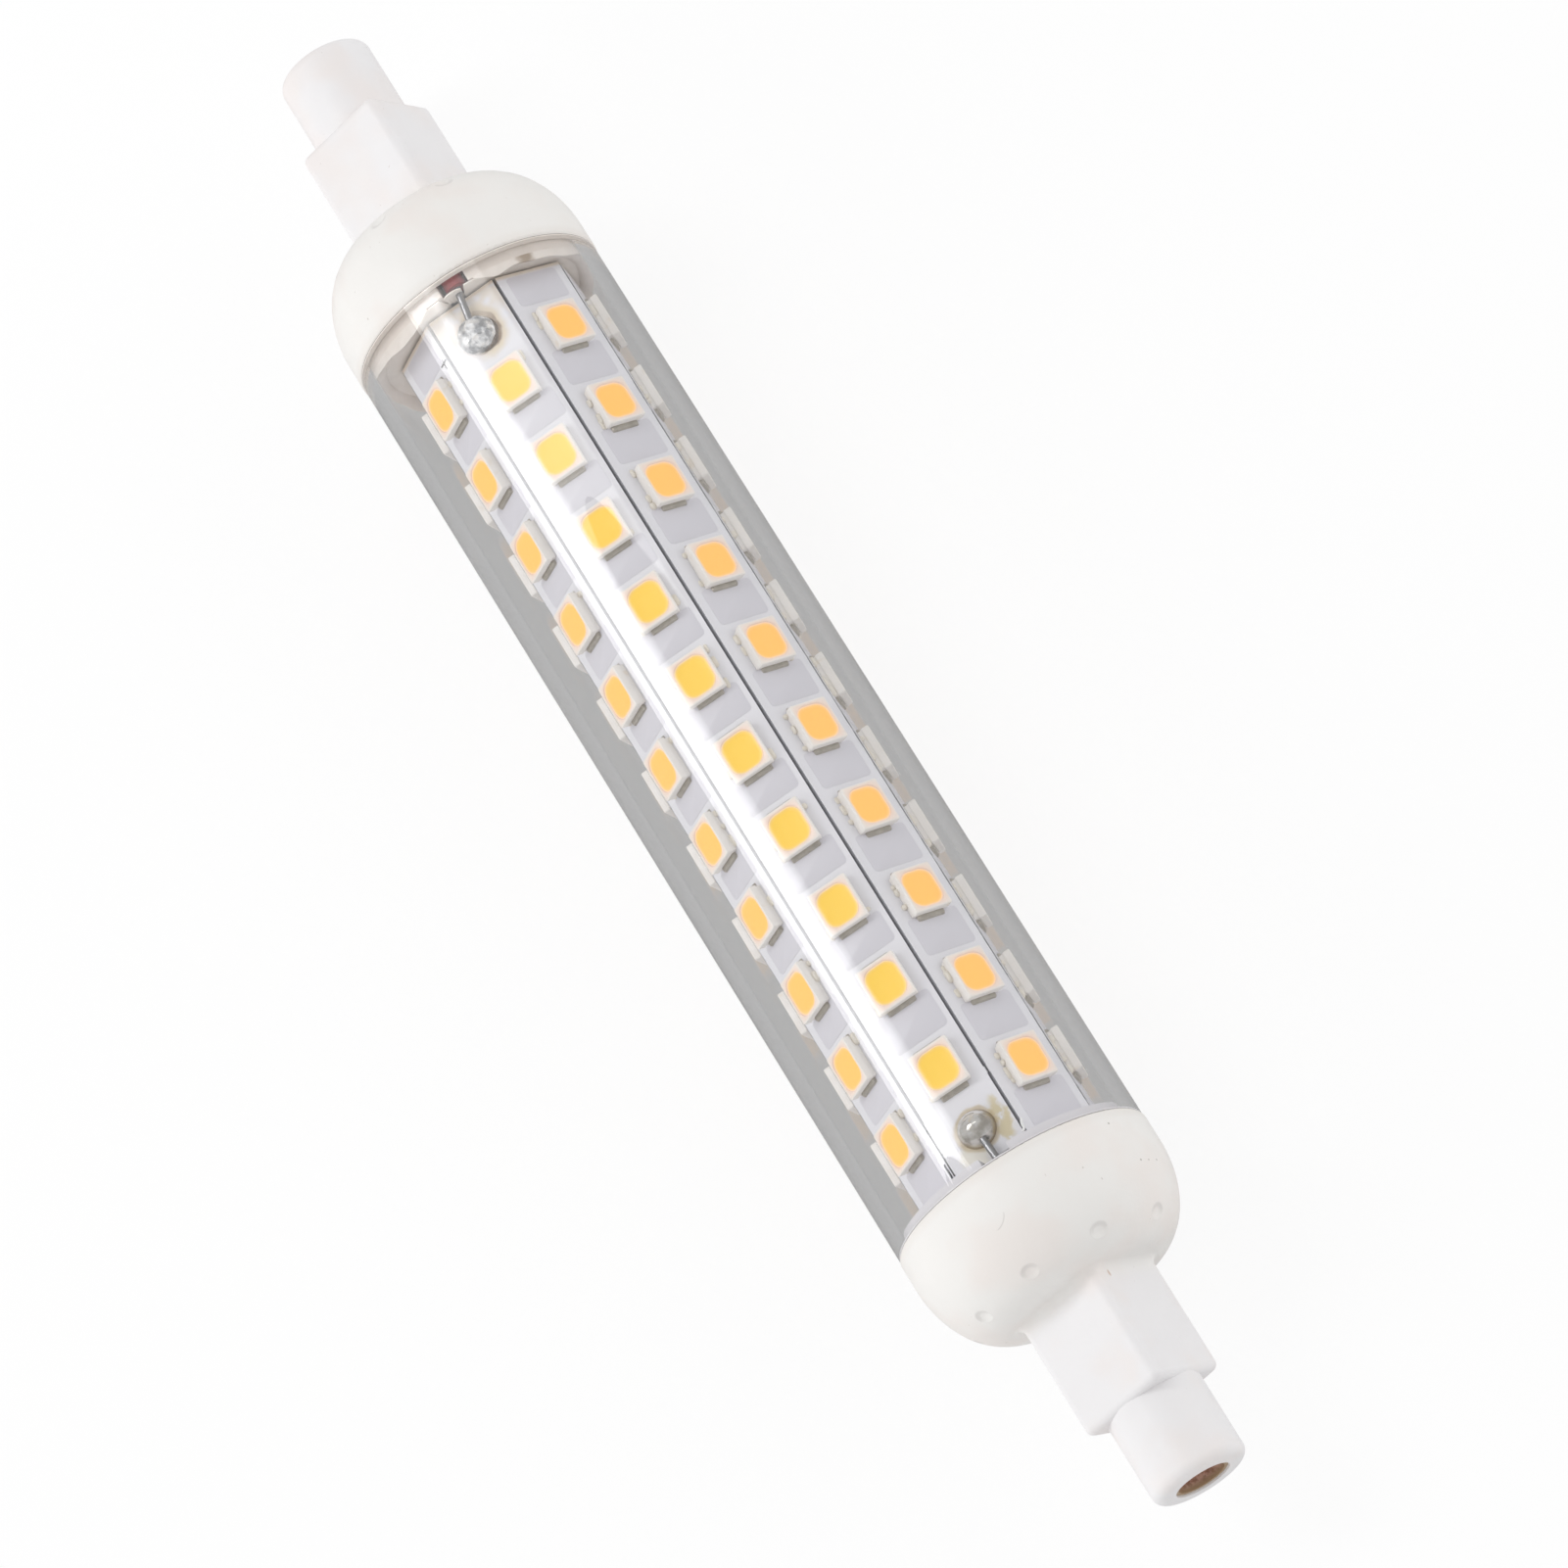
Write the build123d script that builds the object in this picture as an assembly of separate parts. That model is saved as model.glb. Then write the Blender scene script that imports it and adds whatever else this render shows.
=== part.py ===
from build123d import *
import os
from math import cos, radians, sin, sqrt

# A double-ended lamp with a clear tube, a folded LED board and two ceramic end caps.
# Millimetres. X runs along the lamp's axis from the plus end to the minus end, with the
# origin at mid-length. Z is the normal of the board's first facet.

# Overall sizes
lamp_length = 118.0
tube_diameter = 18.4
tube_wall = 1.0

# End cap
cap_length = 22.6
cap_overhang = 0.075
cap_rim_round = 0.2
cap_straight = 2.0
cap_dome_depth = 8.05
cap_dome_flat_radius = 5.1
cap_bore_depth = 5.0
cap_bore_taper = 2.4
lip_length = 0.85
lip_clearance = 0.1
lip_wall = 1.9
neck_width = 7.15
neck_corner = 0.6
neck_blend = 0.6
neck_end_round = 0.5
tip_diameter = 6.85
tip_length = 6.0
tip_round = 0.7
wire_bore_radius = 1.3
plus_neck_turn = 18.0
minus_neck_turn = 24.5
dimple_count = 9
dimple_width = 1.3
dimple_depth = 0.12
dimple_inset = 1.78
dimple_turn = 30.0
quarter_turn = 90.0

# Contact cup, recessed in the tip
contact_radius = 1.95
contact_wall = 0.25
contact_depth = 2.0
contact_floor = 0.5
contact_recess = 0.15
contact_stem_radius = 0.9
contact_stem_length = 4.0
contact_clearance = 0.03

# Folded board
board_tube_gap = 1.82
board_thickness = 0.8
board_end_play = 0.3
board_side_shift = 0.4
facet_count = 8
score_width = 0.12
score_depth = 0.4
slot_width = 0.24
seam_width = 0.3
bridge_length = 0.5
bridge_from_end = 5.24
short_slot_from_end = 4.54

# One LED
led_length = 3.3
led_width = 2.8
led_height = 0.8
window_length = 2.5
window_width = 2.2
window_corner = 0.45
window_depth = 0.5
phosphor_below_rim = 0.04
phosphor_clearance = 0.01
terminal_reach = 0.2
terminal_width = 2.0
terminal_height = 0.3

# LED rows, counted from the first facet round towards +Y
first_row_side_shift = 0.2
first_row_longer_step = 0.51
row_counts = (10, 10, 11, 11, 10, 10, 11, 11)
row_plus_margins = (7.2, 5.05, 4.55, 5.05, 5.05, 5.05, 4.6, 5.1)
row_minus_margins = (6.9, 4.8, 5.05, 4.85, 4.8, 4.8, 5.4, 4.9)

# Leads on the board, soldered to its first facet and turned back inside the caps
plus_joint_radius = 1.35
minus_joint_radius = 1.3
plus_joint_from_rim = 3.85
minus_joint_from_rim = 3.1
plus_joint_side_shift = -0.2
minus_joint_side_shift = 0.1
joint_height_share = 0.85
lead_side_shift = 0.4
insulation_radius = 0.75
conductor_radius = 0.25
wire_clearance = 0.05
plus_strip_from_rim = 0.6
minus_strip_from_rim = -0.6
wire_turn_radius = 1.9
lead_bend_radius = 1.5
notch_side_clearance = 0.25

# Input wires
input_insulation_radius = 0.65
input_strip_length = 0.8
input_bend_place = 3.0
input_bend_radius = 4.0

# Driver board inside the folded board
driver_length = 50.0
driver_thickness = 1.0
driver_side_clearance = 0.1
driver_seat_clearance = 0.05
pad_inset = 3.0
pad_side_place = 2.7
pad_joint_radius = 0.9
pad_joint_height = 1.1
pad_strip_length = 1.4
pad_run = 4.0
inner_run_length = 2.0

# Driver components, in their order from the plus end, with equal gaps
fuse_radius = 1.2
fuse_length = 6.5
fuse_lead_reach = 1.0
rectifier_size = (4.9, 4.0, 1.6)
capacitor_radius = 2.5
capacitor_length = 11.0
capacitor_groove = 0.25
capacitor_lead_spacing = 2.0
capacitor_lead_reach = 0.8
choke_radius = 2.7
choke_flange = 0.9
choke_height = 4.8
choke_core_radius = 1.3
winding_clearance = 0.03
winding_inset = 0.3
chip_size = (4.9, 3.9, 1.5)
chip_lead_count = 4
rectifier_lead_count = 2
lead_thickness = 0.3
lead_width = 0.45
lead_reach = 0.9
resistor_size = (1.6, 0.8, 0.5)
resistor_places = (-5.0, 6.0, 13.5)
resistor_edge_inset = 1.08
component_lead_radius = 0.25
chip_edge_chamfer = 0.25
fuse_end_round = 0.4

# How far a cutting shape reaches past what it cuts
overrun = 1.0

# Places that follow from the sizes
tube_length = lamp_length - 2 * cap_length
tube_outer = tube_diameter / 2
tube_inner = tube_outer - tube_wall
cap_radius = tube_outer + cap_overhang
cap_bore_radius = tube_inner - lip_clearance - lip_wall
dimple_ring_radius = cap_radius - dimple_inset
rim = tube_length / 2
lip_face = rim - lip_length
board_length = 2 * lip_face - board_end_play
board_centre = board_end_play / 2
board_start = board_centre - board_length / 2
board_end = board_centre + board_length / 2
bridge_place = board_end - bridge_from_end
short_slot_end = board_end - short_slot_from_end
board_apothem = tube_inner - board_tube_gap
half_fold = radians(180 / facet_count)
board_inner = board_apothem - board_thickness
fold_radius = board_apothem / cos(half_fold)
run_height = board_apothem + insulation_radius + wire_clearance
notch_radius = run_height + insulation_radius + notch_side_clearance
lead_side = board_side_shift + lead_side_shift
driver_width = 2 * (board_inner - driver_side_clearance)
side_slope = 2 * half_fold
driver_rest = (board_inner - driver_width / 2 * cos(side_slope)) / sin(side_slope)
driver_top = driver_thickness + driver_seat_clearance - driver_rest
pad_place = driver_length / 2 - pad_inset
resistor_side_place = driver_width / 2 - resistor_edge_inset
fuse_span = fuse_length + 2 * (fuse_lead_reach + component_lead_radius)
capacitor_lead_span = capacitor_lead_reach + component_lead_radius
capacitor_span = capacitor_length + capacitor_lead_span
component_spans = (fuse_span, rectifier_size[0], capacitor_span, 2 * choke_radius, chip_size[0])
free_length = 2 * (pad_place - pad_joint_radius) - sum(component_spans)
component_gap = free_length / (len(component_spans) + 1)
tip_start = cap_length - tip_length
cup_seat = cap_length - contact_recess - contact_depth - contact_floor
stem_end = cup_seat - contact_stem_length


def save(shape, node):
    export_step(shape, f"parts/{node}.step")


def turned(points):
    """A solid of revolution about X from straight-sided (x, radius) points."""
    return revolve(make_face(Polyline(*points, close=True)), axis=Axis.X)


def rod(start, length, radius):
    """A cylinder along X whose first end is at x = start."""
    return Pos(start + length / 2, 0, 0) * Rot(0, 90, 0) * Cylinder(radius, length)


def clear_tube():
    return rod(-rim, tube_length, tube_outer) - rod(-rim - overrun, tube_length + 2 * overrun, tube_inner)


# End caps are drawn with x = 0 at the rim and x = cap_length at the tip.
def cap_outside():
    radius = cap_radius
    shoulder_reach = cap_dome_depth - cap_straight
    shoulder_drop = radius - cap_dome_flat_radius
    lip_radius = tube_inner - lip_clearance
    rim_bulge = 1 - sqrt(0.5)
    outline = Polyline(
        (cap_dome_depth, cap_dome_flat_radius),
        (cap_dome_depth, 0),
        (-lip_length, 0),
        (-lip_length, lip_radius),
        (0, lip_radius),
        (0, radius - cap_rim_round),
    )
    outline += ThreePointArc(
        (0, radius - cap_rim_round),
        (cap_rim_round * rim_bulge, radius - cap_rim_round * rim_bulge),
        (cap_rim_round, radius),
    )
    outline += Line((cap_rim_round, radius), (cap_straight, radius))
    centre = (cap_straight, cap_dome_flat_radius)
    outline += EllipticalCenterArc(centre, shoulder_reach, shoulder_drop, start_angle=0, arc_size=quarter_turn)
    return revolve(make_face(outline), axis=Axis.X)


def cap_neck(turn):
    section = Plane.YZ * RectangleRounded(neck_width, neck_width, neck_corner)
    neck = Pos(cap_bore_depth, 0, 0) * extrude(section, tip_start - cap_bore_depth)
    neck = fillet(neck.edges().group_by(Axis.X)[-1], neck_end_round)
    return Rot(turn, 0, 0) * neck


def cap_tip():
    radius = tip_diameter / 2
    tip = rod(cap_bore_depth, cap_length - cap_bore_depth, radius)
    return fillet(tip.edges().group_by(Axis.X)[-1], tip_round)


def cap_cavity():
    """The stepped bore, from the mouth of the cap to the mouth of the tip."""
    bore_end = cap_bore_depth + cap_bore_taper
    cup_bore = contact_radius + contact_clearance
    return turned([
        (-lip_length - overrun, 0),
        (-lip_length - overrun, cap_bore_radius),
        (cap_bore_depth, cap_bore_radius),
        (bore_end, wire_bore_radius),
        (cup_seat, wire_bore_radius),
        (cup_seat, cup_bore),
        (cap_length + overrun, cup_bore),
        (cap_length + overrun, 0),
    ])


def wire_notch():
    """The keyway that lets the board's lead pass the lip and turn back inside the cap."""
    depth = lip_length + wire_turn_radius + 2 * insulation_radius + notch_side_clearance
    width = 2 * (insulation_radius + notch_side_clearance)
    place = Pos(depth / 2 - lip_length, lead_side, notch_radius / 2)
    return place * Box(depth, width, notch_radius)


def dimples():
    """Shallow round marks on the shoulder, around the neck."""
    ball_radius = (dimple_width ** 2 / 4 + dimple_depth ** 2) / (2 * dimple_depth)
    reach = cap_dome_depth - cap_straight
    drop = cap_radius - cap_dome_flat_radius
    across = (dimple_ring_radius - cap_dome_flat_radius) / drop
    along = sqrt(1 - across ** 2)
    normal = Vector(along / reach, 0, across / drop).normalized()
    surface = Vector(cap_straight + reach * along, 0, dimple_ring_radius)
    centre = surface + normal * (ball_radius - dimple_depth)
    ball = Pos(centre) * Sphere(ball_radius)
    return [Rot(360 * i / dimple_count - dimple_turn, 0, 0) * ball for i in range(dimple_count)]


def end_cap(turn):
    cap = cap_outside() + cap_neck(turn)
    junction = [
        edge for edge in cap.edges()
        if abs(edge.bounding_box().max.X - cap_dome_depth) < 0.001
        and abs(edge.bounding_box().min.X - cap_dome_depth) < 0.001
        and edge.center().Y ** 2 + edge.center().Z ** 2 < (cap_dome_flat_radius - 0.01) ** 2
    ]
    cap = fillet(junction, neck_blend)
    cap = cap + cap_tip()
    cap = cap - cap_cavity() - wire_notch()
    for ball in dimples():
        cap = cap - ball
    return Pos(rim, 0, 0) * cap


def contact_cup():
    mouth = cap_length - contact_recess
    cup = turned([
        (stem_end, 0),
        (stem_end, contact_stem_radius),
        (cup_seat, contact_stem_radius),
        (cup_seat, contact_radius),
        (mouth, contact_radius),
        (mouth, contact_radius - contact_wall),
        (cup_seat + contact_floor, contact_radius - contact_wall),
        (cup_seat + contact_floor, 0),
    ])
    return Pos(rim, 0, 0) * cup


def at_plus_end(shape):
    """The same piece at the other end of the lamp."""
    return mirror(shape, about=Plane.YZ)


def on_facet(facet):
    """The place of a facet: X along the lamp, Y across the facet, Z out of it."""
    return Pos(0, board_side_shift, 0) * Rot(-360 * facet / facet_count, 0, 0)


def fold_cut(facet, width, depth, start, end):
    """A cut of one width and depth along the fold past a facet, from start to end."""
    turn = -360 * (facet + 0.5) / facet_count
    height = fold_radius + overrun - depth / 2
    block = Pos((start + end) / 2, 0, height) * Box(end - start, width, depth + 2 * overrun)
    return Pos(0, board_side_shift, 0) * Rot(turn, 0, 0) * block


def led_board():
    flat_on_top = 180 / facet_count
    outer = Plane.YZ * RegularPolygon(board_apothem, facet_count, major_radius=False, rotation=flat_on_top)
    inner = Plane.YZ * RegularPolygon(board_inner, facet_count, major_radius=False, rotation=flat_on_top)
    board = Pos(board_start, board_side_shift, 0) * extrude(outer - inner, board_length)
    before_bridge = bridge_place - bridge_length / 2
    after_bridge = bridge_place + bridge_length / 2
    through = 2 * board_thickness
    before = board_start - overrun
    after = board_end + overrun
    seam = facet_count // 2
    for facet in range(facet_count):
        board = board - fold_cut(facet, score_width, score_depth, before, after)
    board = board - fold_cut(0, slot_width, through, before, before_bridge)
    board = board - fold_cut(0, slot_width, through, after_bridge, after)
    board = board - fold_cut(facet_count - 1, slot_width, through, before, short_slot_end)
    return board - fold_cut(seam, seam_width, through, before, after)


def led_places(row):
    """Positions along the lamp of a row's LEDs; the first row's last step is longer."""
    first = board_start + row_plus_margins[row]
    last = board_end - row_minus_margins[row]
    longer = first_row_longer_step if row == 0 else 0
    pitch = (last - first - longer) / (row_counts[row] - 1)
    places = [first + i * pitch for i in range(row_counts[row] - 1)]
    return places + [last]


def window(width_clearance, height):
    section = Rectangle(window_length - 2 * width_clearance, window_width - 2 * width_clearance)
    section = chamfer(section.vertices(), window_corner)
    return extrude(section, height)


def led_housing():
    body = Pos(0, 0, led_height / 2) * Box(led_length, led_width, led_height)
    return body - Pos(0, 0, led_height - window_depth) * window(0, window_depth + overrun)


def led_phosphor():
    fill = window(phosphor_clearance, window_depth - phosphor_below_rim)
    return Pos(0, 0, led_height - window_depth) * fill


def led_terminal(side):
    place = side * (led_length + terminal_reach) / 2
    return Pos(place, 0, terminal_height / 2) * Box(terminal_reach, terminal_width, terminal_height)


def row_of(pieces, row):
    """Copies of the given solids at each LED of a row, as one group."""
    side = first_row_side_shift if row == 0 else 0
    copies = []
    for place in led_places(row):
        frame = on_facet(row) * Pos(place, side, board_apothem)
        copies += [frame * piece for piece in pieces]
    return Compound(children=copies)


def solder_joint(radius, height):
    """A drop of solder on a flat pad: a spherical cap standing on z = 0."""
    ball_radius = (radius ** 2 + height ** 2) / (2 * height)
    drop = Pos(0, 0, height - ball_radius) * Sphere(ball_radius)
    return drop & Pos(0, 0, height / 2) * Box(4 * radius, 4 * radius, height)


def board_joint(radius, place, side_shift):
    side = board_side_shift + side_shift
    return Pos(place, side, board_apothem) * solder_joint(radius, radius * joint_height_share)


def pad_joint(side):
    place = Pos(pad_place, board_side_shift + side * pad_side_place, driver_top)
    return place * solder_joint(pad_joint_radius, pad_joint_height)


def tube_along(points, radii, radius):
    """A round wire along straight runs joined by tangent arcs."""
    path = FilletPolyline(*points, radius=radii)
    section = Plane(origin=path @ 0, z_dir=path % 0) * Circle(radius)
    return sweep(section, path=path)


def wire_pair(points, radii, strip_start, strip_end, radius):
    """A conductor along the whole route, and its insulation between two stripped ends."""
    first, second = Vector(points[0]), Vector(points[1])
    last, before = Vector(points[-1]), Vector(points[-2])
    sleeve_points = list(points)
    sleeve_points[0] = first + (second - first).normalized() * strip_start
    sleeve_points[-1] = last + (before - last).normalized() * strip_end
    sleeve = tube_along(sleeve_points, radii, radius)
    bore = tube_along(sleeve_points, radii, conductor_radius + wire_clearance)
    return tube_along(points, radii, conductor_radius), sleeve - bore


def output_wire(joint_from_rim, joint_side_shift, strip_from_rim):
    """From the joint on the first facet, round the board's end, to the driver's output pad."""
    strip = rim - strip_from_rim
    turn = rim + wire_turn_radius + insulation_radius
    inner_height = run_height - 2 * wire_turn_radius - wire_clearance
    pad_height = driver_top + insulation_radius + wire_clearance
    pad_side = board_side_shift + pad_side_place
    joint_side = board_side_shift + joint_side_shift
    entry = Vector(rim - joint_from_rim, joint_side, run_height - insulation_radius / 2)
    route = [
        (strip, lead_side, run_height),
        (turn, lead_side, run_height),
        (turn, lead_side, inner_height),
        (board_end - inner_run_length, lead_side, inner_height),
        (pad_place + pad_run, pad_side, pad_height),
        (pad_place, pad_side, pad_height),
    ]
    radii = [wire_turn_radius] * 4
    sleeve = wire_pair(route, radii, 0, pad_strip_length, insulation_radius)[1]
    conductor = tube_along([entry] + route, [lead_bend_radius] + radii, conductor_radius)
    return conductor, sleeve


def input_wire():
    """From the contact cup's stem to the driver's input pad."""
    pad_height = driver_top + input_insulation_radius + wire_clearance
    pad_side = board_side_shift - pad_side_place
    route = [
        (rim + stem_end, 0, 0),
        (rim + input_bend_place, 0, 0),
        (pad_place + pad_run, pad_side, pad_height),
        (pad_place, pad_side, pad_height),
    ]
    radii = [input_bend_radius, input_bend_radius]
    return wire_pair(route, radii, input_strip_length, pad_strip_length, input_insulation_radius)


def driver_board():
    height = driver_top - driver_thickness / 2
    return Pos(0, board_side_shift, height) * Box(driver_length, driver_width, driver_thickness)


def on_driver(place, side, height):
    return Pos(place, board_side_shift + side, driver_top + height)


def component_place(index):
    """The middle of a component's span along the driver board."""
    before = sum(component_spans[:index]) + (index + 1) * component_gap
    return pad_joint_radius - pad_place + before + component_spans[index] / 2


def bent_lead(start, reach, drop):
    """A round lead that leaves a component along X and turns down to the board."""
    direction = reach / abs(reach)
    foot = Vector(start.X + reach, start.Y, start.Z - drop)
    corner = Vector(foot.X, start.Y, start.Z)
    inside = Vector(start.X - direction * component_lead_radius, start.Y, start.Z)
    return tube_along([inside, corner, foot], [2 * component_lead_radius], component_lead_radius)


def fuse_resistor():
    body = rod(-fuse_length / 2, fuse_length, fuse_radius)
    body = fillet(body.edges().filter_by(GeomType.CIRCLE), fuse_end_round)
    for end in (-1, 1):
        start = Vector(end * fuse_length / 2, 0, 0)
        body += bent_lead(start, end * fuse_lead_reach, fuse_radius)
    return on_driver(component_place(0), 0, fuse_radius) * body


def smoothing_capacitor():
    body = rod(-capacitor_length / 2, capacitor_length, capacitor_radius)
    groove_place = capacitor_length / 2 - 4 * capacitor_groove
    ring = rod(groove_place, 2 * capacitor_groove, capacitor_radius + overrun)
    body -= ring - rod(groove_place, 2 * capacitor_groove, capacitor_radius - capacitor_groove)
    body = fillet(body.edges().group_by(Axis.X)[0] + body.edges().group_by(Axis.X)[-1], capacitor_groove)
    for side in (-1, 1):
        start = Vector(capacitor_length / 2, side * capacitor_lead_spacing / 2, 0)
        body += bent_lead(start, capacitor_lead_reach, capacitor_radius)
    return on_driver(component_place(2) - capacitor_lead_span / 2, 0, capacitor_radius) * body


def flat_chip(size, lead_count):
    """A moulded chip with flat leads along both long sides, standing on z = 0."""
    length, width, height = size
    body = Pos(0, 0, height / 2) * Box(length, width, height)
    body = chamfer(body.edges().group_by(Axis.Z)[-1], chip_edge_chamfer)
    pitch = length / lead_count
    for i in range(lead_count):
        place = (i - (lead_count - 1) / 2) * pitch
        lead = Box(lead_width, width + 2 * lead_reach, lead_thickness)
        body += Pos(place, 0, lead_thickness / 2) * lead
    return body


def choke_core():
    flange = Cylinder(choke_radius, choke_flange)
    core = Pos(0, 0, choke_height / 2) * Cylinder(choke_core_radius, choke_height)
    core += Pos(0, 0, choke_flange / 2) * flange
    core += Pos(0, 0, choke_height - choke_flange / 2) * flange
    return on_driver(component_place(3), 0, 0) * core


def choke_winding():
    height = choke_height - 2 * choke_flange - 2 * winding_clearance
    winding = Cylinder(choke_radius - winding_inset, height)
    winding -= Cylinder(choke_core_radius + winding_clearance, height + overrun)
    return on_driver(component_place(3), 0, choke_height / 2) * winding


def chip_resistors():
    length, width, height = resistor_size
    chips = []
    for place in resistor_places:
        for side in (-1, 1):
            spot = on_driver(place, side * resistor_side_place, height / 2)
            chips.append(spot * Box(length, width, height))
    return Compound(children=chips)


os.makedirs("parts", exist_ok=True)
save(clear_tube(), "clear_tube")
save(led_board(), "led_board")
for row in range(facet_count):
    save(row_of([led_housing()], row), f"led_housings_row_{row + 1}")
    save(row_of([led_phosphor()], row), f"led_phosphors_row_{row + 1}")
    save(row_of([led_terminal(-1), led_terminal(1)], row), f"led_terminals_row_{row + 1}")

pad_joints = [pad_joint(-1), pad_joint(1)]
ends = (
    ("minus", minus_neck_turn, minus_joint_radius, minus_joint_from_rim, minus_joint_side_shift,
     minus_strip_from_rim),
    ("plus", plus_neck_turn, plus_joint_radius, plus_joint_from_rim, plus_joint_side_shift,
     plus_strip_from_rim),
)
driver_joints = []
for end, neck_turn, joint_radius, joint_from_rim, joint_side_shift, strip_from_rim in ends:
    joint = board_joint(joint_radius, rim - joint_from_rim, joint_side_shift)
    output_conductor, output_sleeve = output_wire(joint_from_rim, joint_side_shift, strip_from_rim)
    output_conductor = output_conductor - joint
    input_conductor, input_sleeve = input_wire()
    for pad in pad_joints:
        output_conductor = output_conductor - pad
        input_conductor = input_conductor - pad
    pieces = {
        "end_cap": end_cap(neck_turn),
        "contact_cup": contact_cup(),
        "board_solder_joint": joint,
        "output_conductor": output_conductor,
        "output_insulation": output_sleeve,
        "input_conductor": input_conductor,
        "input_insulation": input_sleeve,
    }
    for name, shape in pieces.items():
        save(at_plus_end(shape) if end == "plus" else shape, f"{end}_{name}")
    driver_joints += [at_plus_end(pad) if end == "plus" else pad for pad in pad_joints]
save(Compound(children=driver_joints), "driver_solder_joints")

save(driver_board(), "driver_board")
save(fuse_resistor(), "fuse_resistor")
rectifier = flat_chip(rectifier_size, rectifier_lead_count)
save(on_driver(component_place(1), 0, 0) * rectifier, "bridge_rectifier")
save(smoothing_capacitor(), "smoothing_capacitor")
save(choke_core(), "choke_core")
save(choke_winding(), "choke_winding")
save(on_driver(component_place(4), 0, 0) * flat_chip(chip_size, chip_lead_count), "driver_chip")
save(chip_resistors(), "chip_resistors")
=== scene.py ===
import bpy
import math
import random
from mathutils import Matrix, Vector


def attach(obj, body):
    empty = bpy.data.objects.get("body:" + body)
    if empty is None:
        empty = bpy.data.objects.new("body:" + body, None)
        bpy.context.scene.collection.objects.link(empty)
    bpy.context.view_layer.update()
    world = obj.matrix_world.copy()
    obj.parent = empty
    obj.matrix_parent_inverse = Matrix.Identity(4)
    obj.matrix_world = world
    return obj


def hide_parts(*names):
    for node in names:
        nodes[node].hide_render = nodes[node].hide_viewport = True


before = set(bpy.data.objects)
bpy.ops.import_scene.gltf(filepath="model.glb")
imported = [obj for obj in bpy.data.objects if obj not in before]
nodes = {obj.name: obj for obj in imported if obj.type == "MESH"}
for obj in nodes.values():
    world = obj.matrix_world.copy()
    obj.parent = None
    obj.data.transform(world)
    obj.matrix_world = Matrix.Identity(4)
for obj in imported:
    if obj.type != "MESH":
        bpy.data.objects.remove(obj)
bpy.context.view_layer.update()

# Sizes in millimetres, as in the solids; X runs from the plus end to the minus end
MM = 0.001
RIM = 36.4
LIP_FACE = 35.55
TUBE_RADIUS = 9.2
BOARD_START = -35.25
BOARD_END = 35.55
BOARD_APOTHEM = 6.38
BOARD_SHIFT = 0.4
FACETS = 8
PLUS_JOINT = (-32.55, 0.2, 6.38)
MINUS_JOINT = (33.3, 0.5, 6.38)

# The LED rows, counted from the one with the two joints
ROW_COUNTS = (10, 10, 11, 11, 10, 10, 11, 11)
ROW_PLUS_MARGINS = (7.2, 5.05, 4.55, 5.05, 5.05, 5.05, 4.6, 5.1)
ROW_MINUS_MARGINS = (6.9, 4.8, 5.05, 4.85, 4.8, 4.8, 5.4, 4.9)
FIRST_ROW_LONGER_STEP = 0.51
FIRST_ROW_SIDE = 0.2

# One LED: its frame, the well in it and the fill in the well
LED_LENGTH = 3.3
LED_WIDTH = 2.8
LED_HEIGHT = 0.8
LED_CORNER = 0.12
LED_FOOT_CORNER = 0.1
WELL_LENGTH = 2.84
WELL_WIDTH = 2.5
WELL_CORNER = 0.86
WELL_FOOT_LENGTH = 2.3
WELL_FOOT_WIDTH = 2.0
WELL_FOOT_CORNER = 0.5
FILL_LENGTH = 2.7
FILL_WIDTH = 2.37
FILL_CORNER = 0.8
# The fill's surface from its edge inwards: share of its size, drop below the frame, paleness
FILL_STEPS = ((0.985, 0.075, 0.85), (0.95, 0.095, 0.45), (0.9, 0.11, 0.15), (0.8, 0.125, 0.0),
              (0.5, 0.135, 0.0), (0.2, 0.14, 0.0))
# A terminal's fillet of solder from the board upwards: length, narrowing, corner, height
TERMINAL_STEPS = ((0.42, 0.0, 0.1, 0.012), (0.4, 0.04, 0.1, 0.08), (0.36, 0.1, 0.1, 0.17),
                  (0.26, 0.2, 0.08, 0.22))

# Small things on the board: lumps of flux, copper fields, signs, burnt flux and a thread
# A lump from the board upwards: share of its size, share of its height
LUMP_STEPS = ((1.0, 0.0), (0.97, 0.35), (0.82, 0.72), (0.5, 0.95))
POUR_WIDTH = 3.9
POUR_CORNER = 0.3
POUR_HEIGHT = 0.022
SHORTEST_POUR = 0.6
INK_HEIGHT = 0.01
MINUS_SIGN_PLACE = (34.55, 2.36, 0)
MINUS_SIGN_SIZE = (1.2, 0.22)
PLUS_SIGN_PLACE = (-32.45, 2.0, 0)
PLUS_SIGN_SIZE = (0.95, 0.14)
BURNT_STEPS = 12
THREAD_POINTS = ((34.4, 3.2, 6.42), (34.7, 3.1, 6.55), (35.1, 3.1, 6.8), (35.42, 3.0, 7.2))
THREAD_RADIUS = 0.085

# Sealant: the bead in the plus cap, the films at the tube's ends and the filling behind the board
BEAD_STEPS = 120
BEAD_GAP_ANGLE = 13
BEAD_TAPER_ANGLE = 10
BEAD_REACH = 0.74
# The bead's uneven edge: height, count round the tube and phase of each wave
BEAD_WAVES = ((0.2, 3, 2), (0.1, 8, 0), (0.05, 19, 0))
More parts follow.
